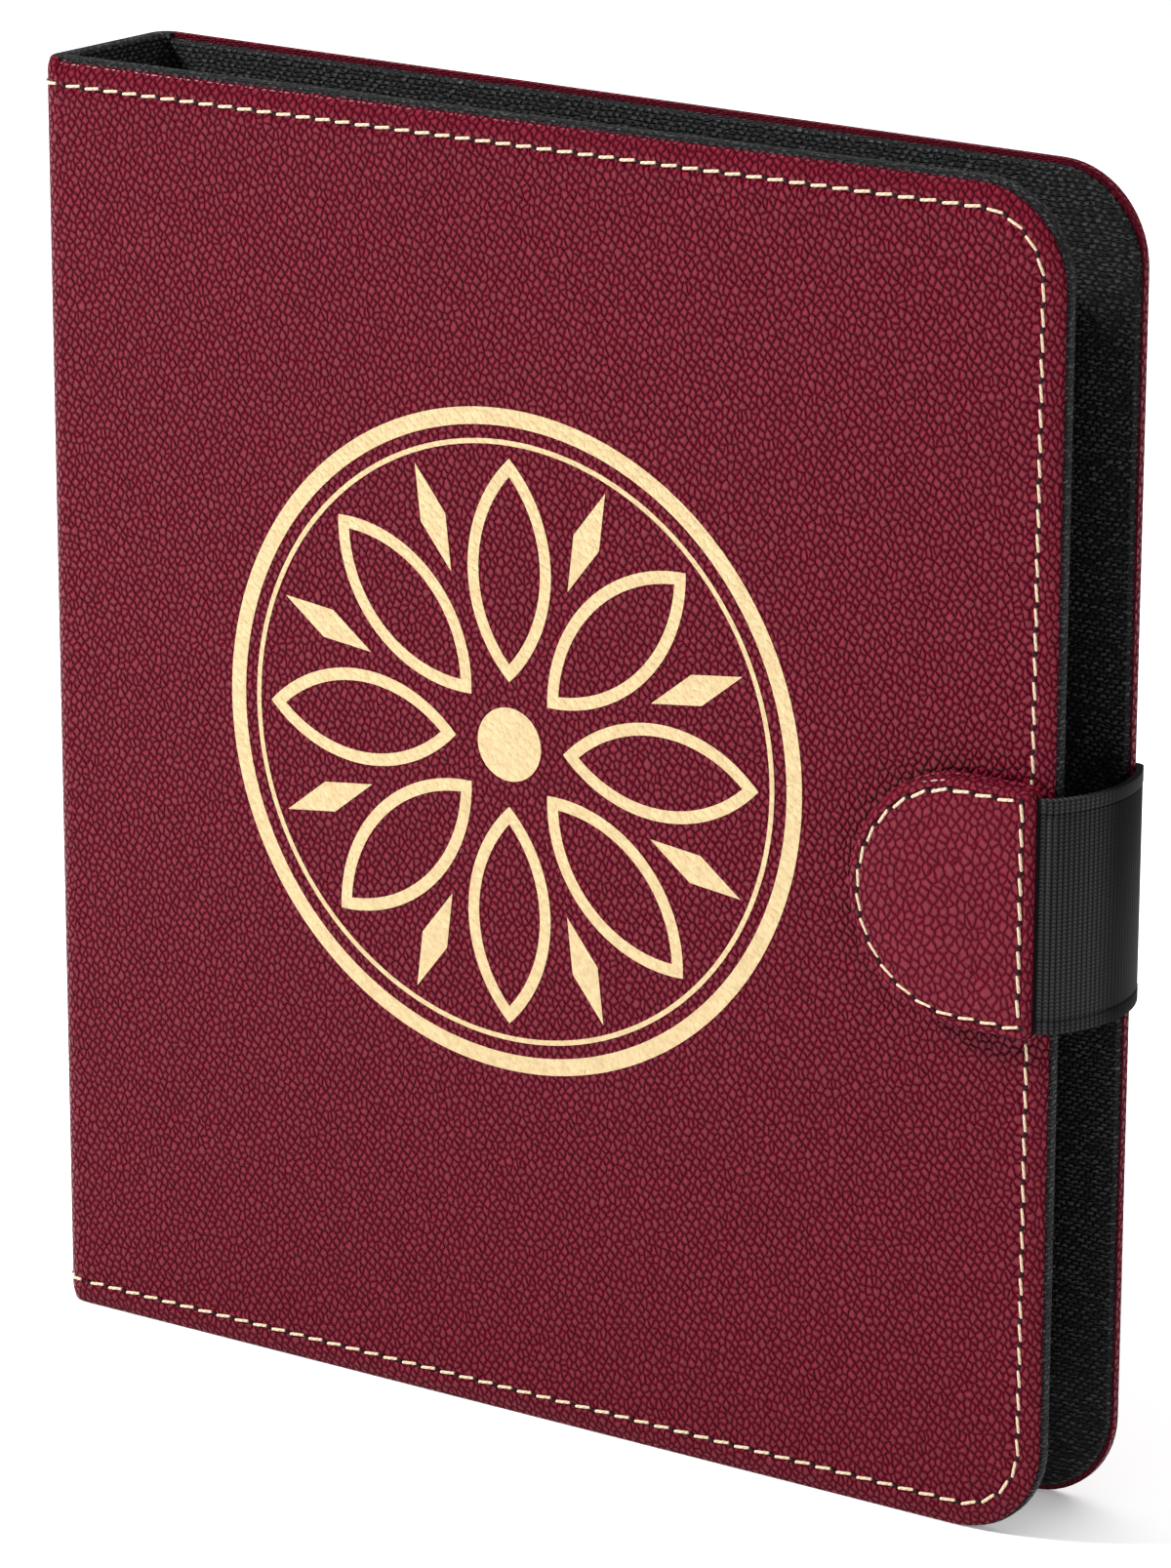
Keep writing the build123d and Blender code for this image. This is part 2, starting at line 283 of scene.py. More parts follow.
# %% [markdown]
# ## Finishes
#
# ** Pebbled leather.** The skin is embossed with rounded, many-sided pebbles between narrow creases. A cell
# pattern gives both: the distance to a cell's edge is the pebble's height, and each cell's own random value
# makes its tone a little different. The creases are painted near black, which is painted shade, and the
# pebbles' flanks get painted light: a brighter crimson sheen on the covers, a little painted shade on the
# tab.
# A noise bends the cells so that no two look alike. The pattern is laid on the leather's own UV map, because
# a cell pattern cut through solid space has ragged, half-lost cells. The tab has its own, flatter grain: its
# leather is stretched over a pad.


# %% Leather
PATTERN_TURN = radians(33)    # the rows of pebbles run slantwise over the hide
PATTERN_STRETCH = (1.05, 0.87, 1)    # and the pebbles are a little taller than wide
PATTERN_BEND = 0.6    # how far the noise moves a cell's edge, in pebbles


def pebbles(finish, flat, pebble):
    """The grain: how far inside its pebble a point is, how far from the middle, and a random tone."""
    flat_noise = finish.node("TexNoise", {"noise_dimensions": "2D"}, {"Vector": flat, "Scale": 420}, "Color")
    offset = finish.node(
        "VectorMath", {"operation": "SCALE"}, {"Vector": flat_noise, "Scale": pebble * PATTERN_BEND})
    bent = finish.node("VectorMath", {"operation": "ADD"}, [flat, offset])
    laid = finish.node(
        "Mapping", inputs={"Vector": bent, "Rotation": (0, 0, PATTERN_TURN), "Scale": PATTERN_STRETCH})
    cells = {"Vector": laid, "Scale": 1 / pebble, "Randomness": 0.60}
    edge = finish.node("TexVoronoi", {"voronoi_dimensions": "2D", "feature": "DISTANCE_TO_EDGE"}, cells)
    middle = finish.node("TexVoronoi", {"voronoi_dimensions": "2D", "feature": "F1"}, cells)
    tone = finish.node("SeparateColor", inputs=[Signal(finish, middle.socket.node.outputs["Color"])])
    return edge, middle, tone


def pebbled_leather(name, pebble, swell, flank_shading, crease):
    """Leather with pebbles of a given width that stand up by a swell. Only their tops are polished."""
    leather = Finish(name)
    flat = leather.node("TexCoord", output="UV")
    edge, middle, tone = pebbles(leather, flat, pebble)
    body = edge.step(0.0, 0.30)
    grain = leather.noise(leather.place(), 3200, 3.0)
    cloud = leather.noise(leather.place(), 38, 2.0)
    height = body * (0.8 + 0.2 * tone) - 1.1 * middle * middle + grain * 0.04
    top = leather.blend(0.45 * tone + 0.45 * cloud, WINE_TOP, WINE_DEEP)
    # The pebbles' flanks get a colour of their own: painted light, a brighter crimson sheen on the covers
    # and a little painted shade on the tab.
    side = leather.blend(edge.step(0.09, 0.30), flank_shading, top)
    # The creases are painted near black: painted shade in the hollows of the grain.
    colour = leather.blend(edge.step(0.0, 0.14), crease, side)
    leather.surface(Specular_IOR_Level=0.04, Coat_Roughness=0.26, Coat_IOR=1.4, Roughness=0.5 + 0.12 * grain)
    return leather.surface(
        Base_Color=colour, Coat_Weight=0.46 * edge.step(0.10, 0.30), Normal=leather.bump(height, swell))


WINE_TOP = (0.185, 0.0075, 0.023, 1)
WINE_DEEP = (0.115, 0.0050, 0.014, 1)
# Painted sheen: the bright crimson on the flanks of the cover's pebbles.
CRIMSON_SHEEN = (0.29, 0.0030, 0.030, 1)
# Painted shade in the creases of the cover's grain.
WINE_CREASE_SHADE = (0.026, 0.0008, 0.004, 1)
# Painted shade: the flanks of the tab's pebbles, a little darker than their tops.
TAB_FLANK_SHADE = (0.175, 0.0050, 0.022, 1)
# Painted shade in the creases of the tab's grain.
TAB_CREASE_SHADE = (0.050, 0.0014, 0.007, 1)
PEBBLE, PEBBLE_SWELL = 1.3 * MM, 1.05 * MM
TAB_PEBBLE, TAB_SWELL = 1.45 * MM, 0.42 * MM
skin_leather = pebbled_leather("wine_leather", PEBBLE, PEBBLE_SWELL, CRIMSON_SHEEN, WINE_CREASE_SHADE)
tab_skin = pebbled_leather("wine_leather_tab", TAB_PEBBLE, TAB_SWELL, TAB_FLANK_SHADE, TAB_CREASE_SHADE)
print("pebbles:", round(PEBBLE / MM, 2), "mm on the covers,", round(TAB_PEBBLE / MM, 2), "mm on the tab")

# %% [markdown]
# ** Woven lining.** The lining is a coarse black weave. What shows of it is the weft: rows of short rounded
# dashes, each row half a dash along from the last, with its own brightness for every dash. The colour also
# follows the relief: painted shade in the gaps between the dashes and a painted glint on their tops. Loosely
# placed cells keep the rows from looking like brickwork. It follows the cloth, so it reads the piece's own
# UV map, which is laid out in metres.


# %% Lining
def woven(name, width, height):
    """Cloth whose weft shows as rows of short rounded dashes, no two quite alike."""
    cloth = Finish(name)
    flat = cloth.node("TexCoord", output="UV")
    drift = cloth.noise(flat, 300, output="Color")
    offset = cloth.node("VectorMath", {"operation": "SCALE"}, {"Vector": drift, "Scale": 0.9 * MM})
    spread = cloth.node("VectorMath", {"operation": "ADD"}, [flat, offset])
    sideways, upwards, _ = cloth.split(spread)
    row = upwards * (1 / height)
    long_way = sideways * (1 / width) + row.math("FLOOR") * 0.5
    square = cloth.node("CombineXYZ", inputs=[long_way, row])
    cells = {"Vector": square, "Scale": 1.0, "Randomness": 0.45}
    edge = cloth.node("TexVoronoi", {"voronoi_dimensions": "2D", "feature": "DISTANCE_TO_EDGE"}, cells)
    cell = cloth.node("TexVoronoi", {"voronoi_dimensions": "2D", "feature": "F1"}, cells, "Color")
    own = cloth.node("SeparateColor", inputs=[cell])
    fibre = cloth.noise(flat, 4200, 3.0)
    dome = edge.step(0.02, 0.34)
    relief = dome * (0.35 + 0.65 * own) + 0.25 * fibre
    # Colour from the relief: painted shade in the gaps between dashes and a painted glint on their tops,
    # over each dash's own random tone.
    colour = cloth.blend(relief.step(0.35, 1.15), (0.0035, 0.0035, 0.004, 1), (0.048, 0.048, 0.051, 1))
    cloth.surface(Specular_IOR_Level=0.12)
    return cloth.surface(Base_Color=colour, Roughness=0.60 - 0.25 * own, Normal=cloth.bump(relief, 0.5 * MM))


DASH_WIDTH, DASH_HEIGHT = 1.6 * MM, 0.85 * MM
lining_cloth = woven("black_weave", DASH_WIDTH, DASH_HEIGHT)

# %% [markdown]
# ** Elastic.** The strap is knitted: fine columns of loops run across its width. Where it leaves the tab it
# is stretched open and the columns are plain to see, and further on they close up to a smooth matt cloth.
# Its colour follows the relief, so the columns carry a painted highlight near the tab, and further on the
# strap is painted darker, as painted shade.
# U runs along the strap, from the tab's mouth, and V across it.


# %% Elastic
RIBBED_LENGTH = 9 * MM
COLUMN_WIDTH, LOOP_HEIGHT = 0.95 * MM, 0.68 * MM


def ribbed_elastic():
    elastic = Finish("ribbed_elastic")
    flat = elastic.node("TexCoord", output="UV")
    along, across, _ = elastic.split(flat)
    column = (along * (1 / COLUMN_WIDTH)).math("FRACT") * 2 - 1
    slope = column.math("ABSOLUTE")
    loop = (across * (1 / LOOP_HEIGHT) + slope * 0.5).math("FRACT") * 2 - 1
    # Where the columns show, near the tab; through the colour this mask also paints the strap darker further
    # on, as painted shade.
    clear = 1 - along.math("ABSOLUTE").step(RIBBED_LENGTH * 0.6, RIBBED_LENGTH * 1.5)
    knit = (1 - column * column) * (0.35 + 0.65 * (1 - loop * loop)) * (0.12 + 0.88 * clear)
    fuzz = elastic.noise(flat, 2600, 3.0)
    relief = knit + 0.16 * fuzz
    # Colour from the relief: a painted highlight on the columns near the tab, and painted shade where they
    # fade further on.
    colour = elastic.blend(relief.step(0.05, 1.1), (0.0015, 0.0015, 0.002, 1), (0.040, 0.040, 0.042, 1))
    elastic.surface(Specular_IOR_Level=0.08)
    return elastic.surface(Base_Color=colour, Roughness=0.7, Normal=elastic.bump(relief, 0.4 * MM))


strap_elastic = ribbed_elastic()

# %% [markdown]
# **Thread, foil, page and film.** The sewing thread is twisted, so its bump is slanted stripes on the
# stitch's own UV map. The foil is thin metal pressed into the leather: it takes a little of the pebbles'
# shape, and it is missing in a few of the deeper creases. The leaves are matt black plastic with a fine
# emboss, and the films are clear and glossy.


# %% Thread, foil, page, film and board
def twisted_thread(name, colour, shade):
    thread = Finish(name)
    round_way, long_way, _ = thread.split(thread.node("TexCoord", output="UV"))
    strand = ((round_way * 2 + long_way * 5) * (2 * pi)).math("SINE")
    fibre = thread.noise(thread.place(), 5200, 2.0)
    # Darker colour in the grooves of the twist: painted shade that follows the bump's stripes.
    tint = thread.blend((strand * 0.5 + 0.5).step(-0.6, 0.8), shade, colour)
    thread.surface(Specular_IOR_Level=0.15)
    return thread.surface(Base_Color=tint, Roughness=0.7, Normal=thread.bump(strand + fibre, 0.05 * MM))


def pressed_foil():
    foil = Finish("gold_foil")
    sideways, _, upwards = foil.split(foil.node("TexCoord", output="Object"))
    flat = foil.node("CombineXYZ", inputs=[(sideways - SPINE_X) * (1 / cos(LEAN)), upwards])
    edge, middle, tone = pebbles(foil, flat, PEBBLE)
    patchy = foil.noise(foil.place(), 700, 3.0)
    colour = foil.blend(patchy.step(0.3, 0.7), (0.61, 0.47, 0.265, 1), (0.53, 0.40, 0.215, 1))
    kept = (edge * 2.4 + patchy).step(0.30, 0.36)
    normal = foil.bump(edge.step(0.0, 0.30) + 0.2 * tone - 0.3 * middle + 0.5 * patchy, 0.05 * MM)
    return foil.surface(
        Base_Color=colour, Metallic=0.75, Roughness=0.36 + 0.2 * patchy, Alpha=kept, Normal=normal)


def plastic_sheet(name, colour, rough, depth):
    sheet = Finish(name)
    place = sheet.place()
    fine = sheet.noise(place, 2200, 2.0)
    broad = sheet.noise(place, 30, 2.0)
    tint = sheet.blend(broad, colour, tuple(1.5 * c for c in colour[:3]) + (1,))
    return sheet.surface(Base_Color=tint, Roughness=rough + 0.1 * fine, Normal=sheet.bump(fine, depth))


def clear_film():
    film = Finish("clear_film")
    haze = film.noise(film.place(), 60, 2.0)
    normal = film.bump(haze, 0.4 * MM)
    film.surface(Base_Color=(0.30, 0.32, 0.35, 1))
    return film.surface(Roughness=0.10 + 0.12 * haze, Alpha=0.10 + 0.08 * haze, Normal=normal)


def greyboard():
    board = Finish("greyboard")
    fibre = board.noise(board.place((1, 1, 3)), 900, 4.0)
    colour = board.blend(fibre, (0.22, 0.20, 0.17, 1), (0.42, 0.39, 0.34, 1))
    return board.surface(Base_Color=colour, Roughness=0.9, Normal=board.bump(fibre, 0.1 * MM))


def brushed_pile(name, scale, depth):
    pile = Finish(name)
    place = pile.place()
    tuft = pile.node("TexVoronoi", {"feature": "F1"}, {"Vector": place, "Scale": scale})
    # Darker colour between the tufts and lighter on their tops: painted shade and painted light that follow
    # the bump.
    colour = pile.blend(tuft.step(0.0, 0.7), (0.035, 0.035, 0.037, 1), (0.006, 0.006, 0.007, 1))
    return pile.surface(Base_Color=colour, Roughness=0.85, Normal=pile.bump(1 - tuft, depth))


cream_thread = twisted_thread("cream_thread", (0.74, 0.60, 0.42, 1), (0.46, 0.33, 0.19, 1))
dark_thread = twisted_thread("dark_thread", (0.012, 0.008, 0.010, 1), (0.004, 0.003, 0.004, 1))
foil_finish = pressed_foil()
leaf_plastic = plastic_sheet("leaf_plastic", (0.012, 0.012, 0.013, 1), 0.42, 0.04 * MM)
film_finish = clear_film()
board_finish = greyboard()
loop_pile = brushed_pile("loop_pile", 1500, 0.3 * MM)

# %% Floor
FLOOR_SIZE = 14.0
FLOOR_GLOW = 0.24


def floor_paint():
    paint = Finish("floor_paint")
    speck = paint.noise(paint.place(), 900, 2.0)
    colour = paint.blend(speck, (0.86, 0.86, 0.86, 1), (0.89, 0.89, 0.89, 1))
    paint.surface(Emission_Color=(1, 1, 1, 1), Emission_Strength=FLOOR_GLOW)
    return paint.surface(Base_Color=colour, Roughness=0.8)


bpy.ops.mesh.primitive_plane_add(size=FLOOR_SIZE)
floor = bpy.context.object
floor.name = "floor"
wear(floor_paint(), floor)
print("floor:", FLOOR_SIZE, "m wide; finishes so far:", len(bpy.data.materials))

# %% [markdown]
# ## A few hand tools
#
# Modelling by operators always goes the same way: add a block, go into edit mode, choose edges or faces by
# where they are, and bevel, inset or cut them. These helpers keep those steps short.


# %% Hand tools
def alone(piece):
    """Make one piece the only selected object."""
    if bpy.context.object and bpy.context.object.mode != "OBJECT":
        bpy.ops.object.mode_set(mode="OBJECT")
    bpy.ops.object.select_all(action="DESELECT")
    bpy.context.view_layer.objects.active = piece
    piece.select_set(True)


def block(name, low, high):
    """A box between two corners, in edit mode, ready to be worked on."""
    low, high = Vector(low), Vector(high)
    bpy.ops.object.select_all(action="DESELECT")
    bpy.ops.mesh.primitive_cube_add(size=1, location=(low + high) / 2, scale=high - low)
    piece = bpy.context.object
    piece.name = piece.data.name = name
    alone(piece)
    bpy.ops.object.transform_apply()
    bpy.ops.object.mode_set(mode="EDIT")
    return piece


def spin(angle, centre, steps):
    """Sweep what is selected about a vertical line. The operator turns clockwise, so the sign is changed."""
    bpy.ops.mesh.spin(steps=steps, angle=-angle, center=centre, axis=(0, 0, 1))


def choose_edges(piece, test):
    """Select the edges whose two ends pass a test."""
    bpy.ops.mesh.select_mode(type="EDGE")
    bpy.ops.mesh.select_all(action="DESELECT")
    mesh = bmesh.from_edit_mesh(piece.data)
    for edge in mesh.edges:
        if test(edge.verts[0].co, edge.verts[1].co):
            edge.select_set(True)
    mesh.select_flush_mode()
    bmesh.update_edit_mesh(piece.data)


def choose_faces(piece, test):
    """Select the faces whose middle and normal pass a test."""
    bpy.ops.mesh.select_mode(type="FACE")
    bpy.ops.mesh.select_all(action="DESELECT")
    mesh = bmesh.from_edit_mesh(piece.data)
    mesh.normal_update()
    for face in mesh.faces:
        face.select_set(test(face.calc_center_median(), face.normal))
    bmesh.update_edit_mesh(piece.data)


def choose_flat(piece, direction):
    """Select the one largest face that looks in a direction."""
    bpy.ops.mesh.select_mode(type="FACE")
    bpy.ops.mesh.select_all(action="DESELECT")
    mesh = bmesh.from_edit_mesh(piece.data)
    mesh.normal_update()
    facing = [face for face in mesh.faces if face.normal.dot(Vector(direction)) > 0.999]
    max(facing, key=lambda face: face.calc_area()).select_set(True)
    bmesh.update_edit_mesh(piece.data)


def bevel(width, segments):
    bpy.ops.mesh.bevel(offset=width, segments=segments, affect="EDGES", clamp_overlap=True)


def round_rim(piece, direction, width, segments):
    """Round the edge all round the face that looks in a direction."""
    choose_flat(piece, direction)
    bpy.ops.mesh.region_to_loop()
    bevel(width, segments)


def sewn_channel(piece):
    """Raise the face inside a rounded rim, and press the channel where a seam pulls the leather down."""
    choose_flat(piece, OUT)
    for width, rise in SLOPES:
        bpy.ops.mesh.inset(thickness=width, depth=rise)
    bpy.ops.mesh.inset(thickness=STITCH_INSET - RIM - CHANNEL - SLOPE, depth=0)
    bpy.ops.mesh.inset(thickness=CHANNEL, depth=-CHANNEL_DEPTH)
    bpy.ops.mesh.inset(thickness=CHANNEL, depth=CHANNEL_DEPTH)
    bpy.ops.mesh.inset(thickness=SUPPORT, depth=0)


def cut_off(plane_point, keep_side):
    """Cut the whole piece at a plane and keep the side that a direction points to."""
    bpy.ops.mesh.select_all(action="SELECT")
    bpy.ops.mesh.bisect(plane_co=plane_point, plane_no=keep_side, use_fill=True, clear_inner=True)


def finished(piece, place=Matrix.Identity(4), sharp=50):
    """Leave edit mode, close the mesh, put the piece in its place and shade it."""
    alone(piece)
    bpy.ops.object.mode_set(mode="EDIT")
    bpy.ops.mesh.select_all(action="SELECT")
    bpy.ops.mesh.remove_doubles(threshold=0.005 * MM)
    bpy.ops.mesh.normals_make_consistent(inside=False)
    bpy.ops.object.mode_set(mode="OBJECT")
    piece.matrix_world = place @ piece.matrix_world
    bpy.ops.object.transform_apply()
    bpy.ops.object.shade_smooth_by_angle(angle=radians(sharp))
    return piece


def weave_map(piece):
    """Lay out a UV map in metres, each face seen square on."""
    alone(piece)
    bpy.ops.object.mode_set(mode="EDIT")
    bpy.ops.mesh.select_all(action="SELECT")
    bpy.ops.uv.cube_project(cube_size=1.0, correct_aspect=False, clip_to_bounds=False, scale_to_bounds=False)
    bpy.ops.object.mode_set(mode="OBJECT")


def rolled_map(piece, unplace, along=None):
    """Lay leather out flat, in metres: U from the spine's end, V up, and further out as a rim drops."""
    layer = piece.data.uv_layers[0]
    turn = unplace.to_3x3()
    spots = []
    for vert in piece.data.vertices:
        spot = unplace @ vert.co
        out = turn @ vert.normal
        in_plane = max(sqrt(out.x ** 2 + out.z ** 2), 0.001)
        drop = spot.y if along is None else 0
        first = spot.x + drop * out.x / in_plane if along is None else along(vert.co)
        spots.append((first, spot.z + drop * out.z / in_plane))
    for loop in piece.data.loops:
        layer.data[loop.index].uv = spots[loop.vertex_index]


# %% Sizes of a rim
OUT, IN = (0, -1, 0), (0, 1, 0)
RUN_ON = 12 * MM    # how far a plate runs past the fold before it is cut there
SLOPES = ((1.0 * MM, 0.33 * MM), (1.2 * MM, 0.14 * MM))    # width and rise from the rim up to the face
SLOPE = sum(width for width, rise in SLOPES)
RECESS = sum(rise for width, rise in SLOPES)
RIM = SKIN - RECESS
STITCH_INSET = 4.5 * MM
CHANNEL, CHANNEL_DEPTH = 0.7 * MM, 0.28 * MM
SUPPORT = 0.3 * MM    # a narrow flat ring that keeps the shading of a large face even
print("the face stands", round(RECESS / MM, 2), "mm above its rim")

# %% [markdown]
# ## The leather skin
#
# The skin is one sheet on the real binder: front, spine and back in a row. It is modelled as five pieces
# that meet face to face; the three flat ones ride on their own parts. Each flat piece is a plate with
# rounded corners, a rounded rim and a sewn channel. It is made a little too long and then cut at the fold,
# which leaves the same section at every cut. The two folds are that section spun round the spine's corners.
# The rim starts a little below the face and rises to it, as leather does where it is drawn over a board's
# edge.


# %% Skin of the covers
LIP_WIDTH = 0.9 * MM    # leather turned over the back board's edge


def cover_plate(name, start, depths, foot, top, fore):
    """A plate as big as a cover but for a margin at foot, top and fore-edge, with round corners."""
    fore_edge = COVER_WIDTH + fore
    piece = block(name, (start - RUN_ON, depths[0], -foot), (fore_edge, depths[1], COVER_HEIGHT + top))
    at_fore_edge = fore_edge - 0.1 * MM
    choose_edges(piece, lambda a, b: min(a.x, b.x) > at_fore_edge and abs(a.z - b.z) < 0.1 * MM)
    bevel(CORNER_RADIUS, 14)
    return piece


def hollow(piece, direction, margin, depth):
    """Sink a pocket into a face, leaving a lip round it."""
    choose_flat(piece, direction)
    bpy.ops.mesh.inset(thickness=margin, depth=0)
    bpy.ops.mesh.inset(thickness=0.05 * MM, depth=-depth)


def cover_skin(name, start, place, lip, margins):
    """The leather of one cover, cut at the fold; a lip is what is turned in over the board's edge."""
    piece = cover_plate(name, start, (RECESS, SKIN + lip), *margins)
    if lip:
        hollow(piece, IN, LIP_WIDTH, lip)
    round_rim(piece, OUT, RIM, 4)
    sewn_channel(piece)
    cut_off((start, 0, 0), (1, 0, 0))
    return finished(piece, place)


front_skin = cover_skin("front_skin", FRONT_SETBACK, ON_FRONT, 0, (0, -0.55 * MM, -0.75 * MM))
back_skin = cover_skin("back_skin", FOLD_RADIUS, ON_BACK, 1.3 * MM, (0, 0, 0.75 * MM))

# %% Skin of the spine
SPINE_START, SPINE_END = FOLD_RADIUS, SPINE_DEPTH - FRONT_SETBACK
spine_skin = block(
    "spine_skin", (SPINE_START - RUN_ON, RECESS, 0), (SPINE_END + RUN_ON, SKIN, COVER_HEIGHT))
round_rim(spine_skin, OUT, RIM, 4)
sewn_channel(spine_skin)
cut_off((SPINE_START, 0, 0), (1, 0, 0))
cut_off((SPINE_END, 0, 0), (-1, 0, 0))
finished(spine_skin, ON_SPINE)


# %% Folds of the skin
FOLD_STEPS = 12
front_centre = ON_FRONT @ Vector((FRONT_SETBACK, FOLD_RADIUS, 0))
back_centre = Vector((SPINE_X + FOLD_RADIUS, BACK_Y - FOLD_RADIUS, 0))


def bend_angle(point, centre):
    """Angle of a point round a spine corner, in radians from the -X side, growing towards the front."""
    return (atan2(point.y - centre.y, point.x - centre.x) - pi) % (2 * pi)


def spun_fold(name, source, cut_y, centre, turn):
    """Copy the source's cut face at a Y, and spin it round a spine corner."""
    alone(source)
    bpy.ops.object.duplicate()
    piece = bpy.context.object
    piece.name = piece.data.name = name
    bpy.ops.object.mode_set(mode="EDIT")
    choose_faces(piece, lambda middle, normal: abs(middle.y - cut_y) > 0.01 * MM or abs(normal.y) < 0.99)
    bpy.ops.mesh.delete(type="FACE")
    bpy.ops.mesh.select_all(action="SELECT")
    spin(turn, centre, FOLD_STEPS)
    return finished(piece)


front_fold = spun_fold("front_fold_skin", spine_skin, BACK_Y - SPINE_END, front_centre, FRONT_TURN)
back_fold = spun_fold("back_fold_skin", spine_skin, BACK_Y - SPINE_START, back_centre, -pi / 2)
rolled_map(front_skin, ON_FRONT.inverted())
rolled_map(back_skin, ON_BACK.inverted())
rolled_map(spine_skin, ON_SPINE.inverted())
for fold, centre in ((front_fold, front_centre), (back_fold, back_centre)):
    rolled_map(fold, Matrix.Identity(4), lambda point: FOLD_RADIUS * bend_angle(point, centre))
wear(skin_leather, front_skin, back_skin, spine_skin, front_fold, back_fold)
print("skin:", [len(piece.data.polygons) for piece in (front_skin, spine_skin, front_fold)], "faces")

# %% [markdown]
# ## Lining and boards
#
# The lining covers the inside of each cover and is turned over the edges of the board up to the leather,
# which is why the edge between the covers looks woven. It is a plate the size of the cover with a soft inner
# rim. On the front it stands a little proud of the leather. On the back it stops short, so a line of leather
# shows. The covers' boards are cut a little smaller, so that no grey edge looks out between skin and lining.

# %% Lining pieces
LINING_RIM, LINING_EDGE = 0.8 * MM, 0.35 * MM


def soft_rims(piece):
    """Round a lining's inner rim well, and its outer rim a little."""
    round_rim(piece, IN, LINING_RIM, 3)
    round_rim(piece, OUT, LINING_EDGE, 2)


def cover_lining(name, start, place, margins):
    piece = cover_plate(name, start, (SKIN, COVER), *margins)
    soft_rims(piece)
    cut_off((start, 0, 0), (1, 0, 0))
    return finished(piece, place)


front_lining = cover_lining("front_lining_cloth", FRONT_SETBACK, ON_FRONT, (0, 0.35 * MM, -0.2 * MM))
back_lining = cover_lining("back_lining_cloth", FOLD_RADIUS, ON_BACK, (-0.9 * MM, -0.9 * MM, 0.35 * MM))

# %% Boards of the covers
BOARD_INSET = 1.2 * MM


def board_sheet(name, start, place):
    """Greyboard cut a little smaller than its cover, so that the skin and lining close over its edge."""
    sheet = block(name, (start, SKIN, BOARD_INSET),
                  (COVER_WIDTH - BOARD_INSET, SKIN + BOARD, COVER_HEIGHT - BOARD_INSET))
    fore_edge = COVER_WIDTH - BOARD_INSET - 0.1 * MM
    choose_edges(sheet, lambda a, b: min(a.x, b.x) > fore_edge and abs(a.z - b.z) < 0.1 * MM)
    bevel(CORNER_RADIUS - BOARD_INSET, 10)
    round_rim(sheet, OUT, 0.2 * MM, 2)
    return finished(sheet, place)


back_board = board_sheet("back_board_sheet", FOLD_RADIUS, ON_BACK)
front_board = board_sheet("front_board_sheet", FRONT_SETBACK, ON_FRONT)

# %% Lining of the spine and the folds
spine_lining = block(
    "spine_lining_cloth", (SPINE_START - RUN_ON, SKIN, 0), (SPINE_END + RUN_ON, COVER, COVER_HEIGHT))
soft_rims(spine_lining)
cut_off((SPINE_START, 0, 0), (1, 0, 0))
cut_off((SPINE_END, 0, 0), (-1, 0, 0))
finished(spine_lining, ON_SPINE)
front_fold_lining = spun_fold("front_fold_cloth", spine_lining, BACK_Y - SPINE_END, front_centre, FRONT_TURN)
back_fold_lining = spun_fold("back_fold_cloth", spine_lining, BACK_Y - SPINE_START, back_centre, -pi / 2)
linings = (front_lining, back_lining, spine_lining, front_fold_lining, back_fold_lining)
for piece in linings:
    weave_map(piece)
wear(lining_cloth, *linings)
print("lining:", [len(piece.data.polygons) for piece in linings], "faces")

# %% [markdown]
# ## Stitches
#
# Each stitch is a short bar of cream thread, a little slanted, with its ends pulled into the leather.
# Between two stitches the dark bobbin thread shows as a small knot in the needle hole. The frame says where
# each stitch is: the stitch node's mesh is one small box for each. One bar and one knot are modelled, and
# then copied.

# %% One stitch and one knot
THREAD_RADIUS, THREAD_END = 0.28 * MM, 0.24 * MM
STITCH_LENGTH = 3.1 * MM
STITCH_PITCH = 4.1 * MM
KNOT_RADIUS = 0.40 * MM
KNOT_SHAPE = (1.35, 0.85, 0.6)

bpy.ops.mesh.primitive_cylinder_add(
    vertices=8, radius=THREAD_RADIUS, depth=STITCH_LENGTH, rotation=(0, pi / 2, 0))
stitch = bpy.context.object
stitch.name = "stitch"
alone(stitch)
bpy.ops.object.transform_apply()
bpy.ops.object.mode_set(mode="EDIT")
half_length = STITCH_LENGTH / 2 - 0.01 * MM
choose_edges(stitch, lambda a, b: min(abs(a.x), abs(b.x)) > half_length and a.x * b.x > 0)
bevel(THREAD_END, 2)
finished(stitch, sharp=80)

bpy.ops.mesh.primitive_uv_sphere_add(segments=8, ring_count=5, radius=KNOT_RADIUS, scale=KNOT_SHAPE)
knot = bpy.context.object
knot.name = "knot"
alone(knot)
bpy.ops.object.transform_apply()
finished(knot, sharp=80)
print("stitch", len(stitch.data.polygons), "faces, knot", len(knot.data.polygons), "faces")


# %% Rows of stitches
def stitch_places(node):
    """The middle and the direction of each box in a stitch node."""
    mesh = bmesh.new()
    mesh.from_mesh(cad_nodes[node].data)
    bmesh.ops.remove_doubles(mesh, verts=mesh.verts, dist=0.001 * MM)
    found, seen = [], set()
    for first in mesh.verts:
        if first in seen:
            continue
        island, edge_of = [first], [first]
        seen.add(first)
        while edge_of:
            for link in edge_of.pop().link_edges:
                for vert in link.verts:
                    if vert not in seen:
                        seen.add(vert)
                        island.append(vert)
                        edge_of.append(vert)
        corners = np.array([vert.co for vert in island])
        middle = corners.mean(axis=0)
        along = np.linalg.svd(corners - middle)[2][0]
        found.append((Vector(middle), Vector(along)))
    mesh.free()
    return found


